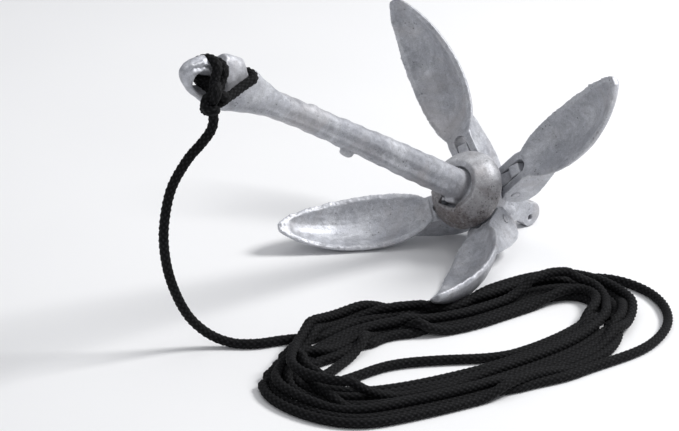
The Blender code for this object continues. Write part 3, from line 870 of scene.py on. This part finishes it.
def braided(name, path, seed=0.0):
    """A round braided cord along a path: two sets of strands wind round it in opposite directions."""
    p = curve_through(path, ROPE_STEP)
    ahead = np.gradient(p, axis=0)
    ahead /= np.linalg.norm(ahead, axis=1)[:, None]
    side = np.cross(ahead[0], (0.3, 0.2, 0.9))
    sides = []
    for direction in ahead:
        side = side - direction * side.dot(direction)
        side /= np.linalg.norm(side)
        sides.append(side)
    sides = np.array(sides)
    others = np.cross(ahead, sides)
    run = np.concatenate([[0], np.cumsum(np.linalg.norm(np.diff(p, axis=0), axis=1))]) + seed
    turn = np.arange(ROPE_SIDES) / ROPE_SIDES
    right = PLAITS * turn[None, :] / 2 + run[:, None] / (2 * PLAIT_LENGTH)
    left = PLAITS * turn[None, :] / 2 - run[:, None] / (2 * PLAIT_LENGTH)
    bump = np.abs(np.sin(math.tau * right)) * np.abs(np.sin(math.tau * left))
    radius = ROPE_RADIUS - PLAIT_HEIGHT + PLAIT_HEIGHT * 1.5 * bump**0.7
    radius[0] *= END_SHARE
    radius[-1] *= END_SHARE
    cosine, sine = np.cos(math.tau * turn), np.sin(math.tau * turn)
    ring = sides[:, None, :] * cosine[None, :, None] + others[:, None, :] * sine[None, :, None]
    verts = (p[:, None, :] + ring * radius[:, :, None]).reshape(-1, 3) * MM
    faces = []
    for i in range(len(p) - 1):
        a, b = i * ROPE_SIDES, (i + 1) * ROPE_SIDES
        for j in range(ROPE_SIDES):
            k = (j + 1) % ROPE_SIDES
            faces.append((a + j, a + k, b + k, b + j))
    faces.append(tuple(reversed(range(ROPE_SIDES))))
    faces.append(tuple((len(p) - 1) * ROPE_SIDES + j for j in range(ROPE_SIDES)))
    mesh = bpy.data.meshes.new(name)
    mesh.from_pydata(verts.tolist(), [], faces)
    add_braid_uv(mesh, run)
    mesh.polygons.foreach_set("use_smooth", np.ones(len(mesh.polygons), bool))
    return new_object(name, mesh)


def in_row(points):
    """Points of the thin, wide and along directions, as row-frame millimetres."""
    return [SHANK @ (flat_plane(*q) * MM) / MM for q in points]


def knot_path():
    """A tight overhand turn: the rope crosses itself three times."""
    made = []
    for i in range(40):
        t = math.tau * (i / 40) * 0.94 + 0.2
        turned = (-math.sin(3 * t), math.sin(t) + 2 * math.sin(2 * t), math.cos(t) - 2 * math.cos(2 * t))
        made.append(tuple(at + size * way for at, size, way in zip(KNOT_AT, KNOT_SIZE, turned)))
    return in_row(made)


def build_rope(fluke):
    pieces = [
        braided("rope_coil", settle(LINE + coil_points(), fluke)),
        braided("rope_eye_strand", in_row(EYE_STRAND), 1.1),
        braided("rope_second_strand", in_row(SECOND_STRAND), 2.3),
        braided("rope_neck_strand", in_row(NECK_STRAND), 0.7),
        braided("rope_knot", knot_path(), 1.9),
    ]
    for piece in pieces:
        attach(piece, "shank")
    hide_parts("anchor_rope")
    return pieces


# ---------------------------------------------------------------- materials

# Zinc as a light and a dark shade
IRON_ZINC = ((0.60, 0.61, 0.645), (0.43, 0.44, 0.48))
COLLAR_ZINC = ((0.60, 0.605, 0.63), (0.40, 0.40, 0.42))
RIVET_ZINC = ((0.60, 0.605, 0.635), (0.42, 0.425, 0.46))
# The second colour on the next line pales the edges: partly wear, partly a painted highlight.
ZINC_TINT, ZINC_WORN_EDGE_AND_HIGHLIGHT = (0.44, 0.41, 0.405), (0.8, 0.81, 0.83)
# The first colour on the next line is painted shade in grooves and hollows; the second is the colour of real
# pits.
ZINC_PAINTED_SHADE, ZINC_PIT = (0.05, 0.05, 0.058), (0.07, 0.07, 0.075)
ZINC_METALLIC = 0.35
# The dome's brown stain, and the heights over the hub where it is full and where it ends
COLLAR_STAIN, STAIN_FULL, STAIN_OVER = (0.16, 0.138, 0.134), 0.002, 0.024
CRUST_HOLE, CRUST_FLECK = (0.035, 0.03, 0.03), (0.55, 0.53, 0.53)
YARN_DARK, YARN_LIGHT, YARN_WORN = (0.003, 0.003, 0.0035), (0.011, 0.011, 0.0125), (0.013, 0.013, 0.0145)
# On the next line: painted shade between the plaits, a painted highlight on the plait crests, and painted
# shade in creases.
YARN_PAINTED_GAP_SHADE, YARN_PAINTED_GLINT, YARN_PAINTED_CREASE_SHADE = (0.0008, 0.0008, 0.001), (0.05, 0.05, 0.055), (0.001, 0.001, 0.0012)


class Graph:
    """A material's node tree, with short calls to add nodes and links."""

    def __init__(self, name):
        self.material = bpy.data.materials.new(name)
        self.material.use_nodes = True
        self.tree = self.material.node_tree
        self.shader = self.tree.nodes["Principled BSDF"]

    def add(self, kind, inputs=None, **settings):
        made = self.tree.nodes.new("ShaderNode" + kind)
        for key, value in settings.items():
            setattr(made, key, value)
        for key, value in (inputs or {}).items():
            self.put(made.inputs[key], value)
        return made

    def put(self, socket, value):
        if isinstance(value, bpy.types.NodeSocket):
            self.tree.links.new(value, socket)
        elif isinstance(value, tuple) and len(value) == 3 and socket.type == "RGBA":
            socket.default_value = (*value, 1.0)
        else:
            socket.default_value = value

    def noise(self, vector, scale, detail=4.0, roughness=0.55, distortion=0.0):
        inputs = {"Vector": vector, "Scale": scale, "Detail": detail}
        inputs.update({"Roughness": roughness, "Distortion": distortion})
        return self.add("TexNoise", inputs).outputs["Fac"]

    def ramp(self, value, low, high, reach=(0.0, 1.0)):
        inputs = {"Value": value, "From Min": low, "From Max": high, "To Min": reach[0], "To Max": reach[1]}
        return self.add("MapRange", inputs).outputs["Result"]

    def maths(self, operation, a, b):
        return self.add("Math", {0: a, 1: b}, operation=operation).outputs[0]

    def mix(self, share, a, b, blend="MIX"):
        return self.add("MixRGB", {"Fac": share, "Color1": a, "Color2": b}, blend_type=blend).outputs[0]

    def shaded(self, colour, shade):
        grey = self.add("CombineColor", {0: shade, 1: shade, 2: shade}).outputs[0]
        return self.mix(1.0, colour, grey, "MULTIPLY")

    def bump(self, height, strength, distance, normal=None):
        inputs = {"Height": height, "Strength": strength, "Distance": distance}
        if normal is not None:
            inputs["Normal"] = normal
        return self.add("Bump", inputs).outputs["Normal"]


def galvanised(name, light, dark, stain=None):
    """Dull hot-dip zinc on rough iron: cloudy patches, fine grain, dark pits, pale edges (wear and a painted
    highlight), painted shade in grooves.

    stain is a colour, the height where it is full and the height where it ends."""
    g = Graph(name)
    place = g.add("TexCoord").outputs["Object"]
    clouds = g.noise(place, 55.0, 6.0, 0.6, 0.6)
    patches = g.noise(place, 230.0, 5.0, 0.62, 0.8)
    grain = g.noise(place, 1500.0, 3.0, 0.7)
    colour = g.mix(g.ramp(clouds, 0.36, 0.64), dark, light)
    colour = g.shaded(colour, g.ramp(patches, 0.35, 0.68, (0.78, 1.1)))
    colour = g.shaded(colour, g.ramp(grain, 0.32, 0.7, (0.8, 1.16)))
    pits = g.add("TexVoronoi", {"Vector": place, "Scale": 420.0, "Randomness": 1.0}).outputs["Distance"]
    gate = g.ramp(g.noise(place, 120.0, 3.0), 0.52, 0.62)
    spots = g.maths("MULTIPLY", g.ramp(pits, 0.26, 0.12), gate)
    colour = g.mix(g.maths("MULTIPLY", spots, 0.75), colour, ZINC_PIT)
    rough = g.ramp(patches, 0.3, 0.7, (0.38, 0.58))
    tint = g.ramp(g.noise(place, 24.0, 3.0, 0.6, 1.2), 0.5, 0.72, (0.0, 0.45))
    colour = g.mix(tint, colour, ZINC_TINT)
    if stain is not None:
        stain_colour, full, over = stain
        height = g.add("SeparateXYZ", {0: place}).outputs["Z"]
        wavy = g.maths("ADD", height, g.ramp(clouds, 0.3, 0.7, (-0.008, 0.008)))
        mask = g.maths("MULTIPLY", g.ramp(wavy, over, full), g.ramp(patches, 0.3, 0.6, (0.55, 1.0)))
        colour = g.mix(mask, colour, stain_colour)
        rough = g.maths("ADD", rough, g.maths("MULTIPLY", mask, 0.12))
        crust = g.noise(place, 800.0, 4.0, 0.7, 0.5)
        holes = g.maths("MULTIPLY", g.ramp(crust, 0.44, 0.36), g.ramp(mask, 0.1, 0.6))
        colour = g.mix(g.maths("MULTIPLY", holes, 0.8), colour, CRUST_HOLE)
        flecks = g.maths("MULTIPLY", g.ramp(crust, 0.6, 0.68), g.ramp(mask, 0.1, 0.6))
        colour = g.mix(g.maths("MULTIPLY", flecks, 0.6), colour, CRUST_FLECK)
    edges = g.add("NewGeometry").outputs["Pointiness"]
    # Paler on sharp outer edges: partly wear, partly a painted highlight.
    colour = g.mix(g.ramp(edges, 0.51, 0.58, (0.0, 0.55)), colour, ZINC_WORN_EDGE_AND_HIGHLIGHT)
    rough = g.maths("ADD", rough, g.ramp(edges, 0.51, 0.57, (0.0, 0.15)))
    # Darker in grooves and hollows: painted shade.
    colour = g.mix(g.ramp(edges, 0.49, 0.42, (0.0, 0.7)), colour, ZINC_PAINTED_SHADE)
    g.put(g.shader.inputs["Base Color"], colour)
    g.put(g.shader.inputs["Metallic"], ZINC_METALLIC)
    g.put(g.shader.inputs["Roughness"], rough)
    skin = g.bump(patches, 0.35, 0.0006)
    skin = g.bump(grain, 0.35, 0.00016, skin)
    skin = g.bump(spots, -0.5, 0.0004, skin)
    g.put(g.shader.inputs["Normal"], skin)
    return g.material


def rope_material():
    """Black braided polyester: each yarn is a bundle of fine fibres that lie along its strand."""
    g = Graph("braided_black_rope")
    uv = g.add("UVMap", uv_map="Braid").outputs[0]
    place = g.add("TexCoord").outputs["Object"]
    inputs = {"Vector": uv, "Scale": 9.0, "Distortion": 1.5, "Detail": 2.0, "Detail Scale": 3.0}
    fibres = g.add("TexWave", inputs, bands_direction="DIAGONAL").outputs["Fac"]
    fuzz = g.noise(place, 2600.0, 3.0, 0.7)
    worn = g.noise(place, 70.0, 4.0)
    colour = g.mix(g.ramp(fibres, 0.2, 0.9), YARN_DARK, YARN_LIGHT)
    colour = g.mix(g.ramp(worn, 0.45, 0.75, (0.0, 0.4)), colour, YARN_WORN)
    parts = g.add("SeparateXYZ", {0: uv}).outputs
    around = g.maths("MULTIPLY", parts["X"], math.pi * PLAITS)
    along = g.maths("MULTIPLY", parts["Y"], math.tau * math.pi * ROPE_RADIUS / PLAIT_LENGTH)
    waves = []
    for sign in ("ADD", "SUBTRACT"):
        wave = g.maths("SINE", g.maths(sign, around, along), 0.0)
        waves.append(g.maths("ABSOLUTE", wave, 0.0))
    crest = g.maths("MULTIPLY", waves[0], waves[1])
    # Darker in the hollows between the plaits: painted shade.
    colour = g.mix(g.ramp(crest, 0.55, 0.1, (0.0, 0.85)), colour, YARN_PAINTED_GAP_SHADE)
    # Lighter specks on the plait crests: a painted highlight.
    painted_glint = g.maths("MULTIPLY", g.ramp(crest, 0.72, 0.95), g.ramp(fuzz, 0.45, 0.62))
    colour = g.mix(g.maths("MULTIPLY", painted_glint, 0.7), colour, YARN_PAINTED_GLINT)
    edges = g.add("NewGeometry").outputs["Pointiness"]
    # Darker in creases: painted shade.
    colour = g.mix(g.ramp(edges, 0.5, 0.4, (0.0, 0.8)), colour, YARN_PAINTED_CREASE_SHADE)
    g.put(g.shader.inputs["Base Color"], colour)
    g.put(g.shader.inputs["Roughness"], g.ramp(fuzz, 0.3, 0.7, (0.6, 0.85)))
    g.put(g.shader.inputs["Specular IOR Level"], 0.14)
    g.put(g.shader.inputs["Sheen Weight"], 0.03)
    g.put(g.shader.inputs["Sheen Roughness"], 0.4)
    skin = g.bump(fibres, 0.5, 0.0002)
    skin = g.bump(fuzz, 0.5, 0.00012, skin)
    g.put(g.shader.inputs["Normal"], skin)
    return g.material


def wear(obj, material):
    obj.data.materials.clear()
    obj.data.materials.append(material)


# ---------------------------------------------------------------- stage, lights and camera

CAMERA_AT = (-0.0465, -1.5157, 0.6957)
CAMERA_DOWN = 23.06
CAMERA_ROLL = 2.62
CAMERA_LENS = 159.06
SENSOR = 36.0
FLOOR_HALF = 6.0
FLOOR_TONES = ((0.86, 0.86, 0.865), (0.88, 0.88, 0.885))
WORLD_COLOUR, WORLD_STRENGTH = (0.93, 0.95, 1.0, 1.0), 0.36
# Soft lights as (name, direction from the anchor, distance, size, power)
LIGHTS = [
    ("key", (0.67, 0.2, 0.72), 1.5, 0.55, 21.0),
    ("front", (-0.35, -0.8, 0.75), 1.8, 1.0, 3.0),
    ("top", (-0.1, 0.1, 1.0), 1.5, 1.3, 4.0),
]


def build_floor():
    mesh = bpy.data.meshes.new("studio_floor")
    corners = [(x * FLOOR_HALF, y * FLOOR_HALF, 0) for x, y in ((-1, -1), (1, -1), (1, 1), (-1, 1))]
    mesh.from_pydata(corners, [], [(0, 1, 2, 3)])
    floor = new_object("studio_floor", mesh)
    g = Graph("pale_floor")
    place = g.add("TexCoord").outputs["Object"]
    tone = g.noise(place, 3.0, 2.0)
    g.put(g.shader.inputs["Base Color"], g.mix(g.ramp(tone, 0.4, 0.6), *FLOOR_TONES))
    g.put(g.shader.inputs["Roughness"], 0.85)
    wear(floor, g.material)


def area_light(name, toward, distance, size, power):
    """A soft light that shines on the anchor from a direction."""
    light = bpy.data.lights.new(name, "AREA")
    light.shape, light.size, light.energy = "DISK", size, power
    obj = bpy.data.objects.new(name, light)
    direction = Vector(toward).normalized()
    middle = (cad_box[0] + cad_box[1]) / 2
    obj.location = middle + direction * distance
    obj.rotation_mode = "QUATERNION"
    obj.rotation_quaternion = (-direction).to_track_quat("-Z", "Y")
    bpy.context.scene.collection.objects.link(obj)


def build_lights():
    world = bpy.data.worlds.new("studio")
    bpy.context.scene.world = world
    world.use_nodes = True
    background = world.node_tree.nodes["Background"]
    background.inputs["Color"].default_value = WORLD_COLOUR
    background.inputs["Strength"].default_value = WORLD_STRENGTH
    for light in LIGHTS:
        area_light(*light)


def build_camera():
    """The photo's camera: level sideways, looking down at the anchor, then rolled."""
    camera = bpy.data.cameras.new("camera")
    camera.lens, camera.sensor_width = CAMERA_LENS, SENSOR
    camera.clip_start, camera.clip_end = 0.05, 50.0
    obj = bpy.data.objects.new("camera", camera)
    down, roll = math.radians(CAMERA_DOWN), math.radians(CAMERA_ROLL)
    level = Vector((1.0, 0.0, 0.0))
    upright = Vector((0.0, math.sin(down), math.cos(down)))
    ahead = Vector((0.0, math.cos(down), -math.sin(down)))
    right = level * math.cos(roll) + upright * math.sin(roll)
    up = upright * math.cos(roll) - level * math.sin(roll)
    placed = Matrix((right, up, -ahead)).transposed().to_4x4()
    placed.translation = Vector(CAMERA_AT)
    obj.matrix_world = placed
    bpy.context.scene.collection.objects.link(obj)
    bpy.context.scene.camera = obj
    bpy.context.scene.view_settings.view_transform = "Standard"


# ---------------------------------------------------------------- build


def surface_tree(obj):
    """The object's faces, for a search of the nearest point."""
    mesh = obj.data
    return BVHTree.FromPolygons([v.co for v in mesh.vertices], [p.vertices for p in mesh.polygons])


def build():
    zinc = galvanised("galvanised_zinc", *IRON_ZINC)
    hub = SHANK.translation.z
    stain = (COLLAR_STAIN, hub + STAIN_FULL, hub + STAIN_OVER)
    collar_zinc = galvanised("galvanised_collar", *COLLAR_ZINC, stain)
    steel = galvanised("rivet_metal", *RIVET_ZINC)
    rope = rope_material()
    wear(build_shank(), zinc)
    wear(build_collar(), collar_zinc)
    flukes = {}
    for seed, name in enumerate(FLUKES, start=11):
        flukes[name] = build_fluke(name, seed)
        wear(flukes[name], zinc)
        wear(build_rivet(name.replace("fluke", "pin"), seed + 20), steel)
    for piece in build_rope(surface_tree(flukes["fluke_bottom"])):
        wear(piece, rope)
    build_floor()
    build_lights()
    build_camera()


build()
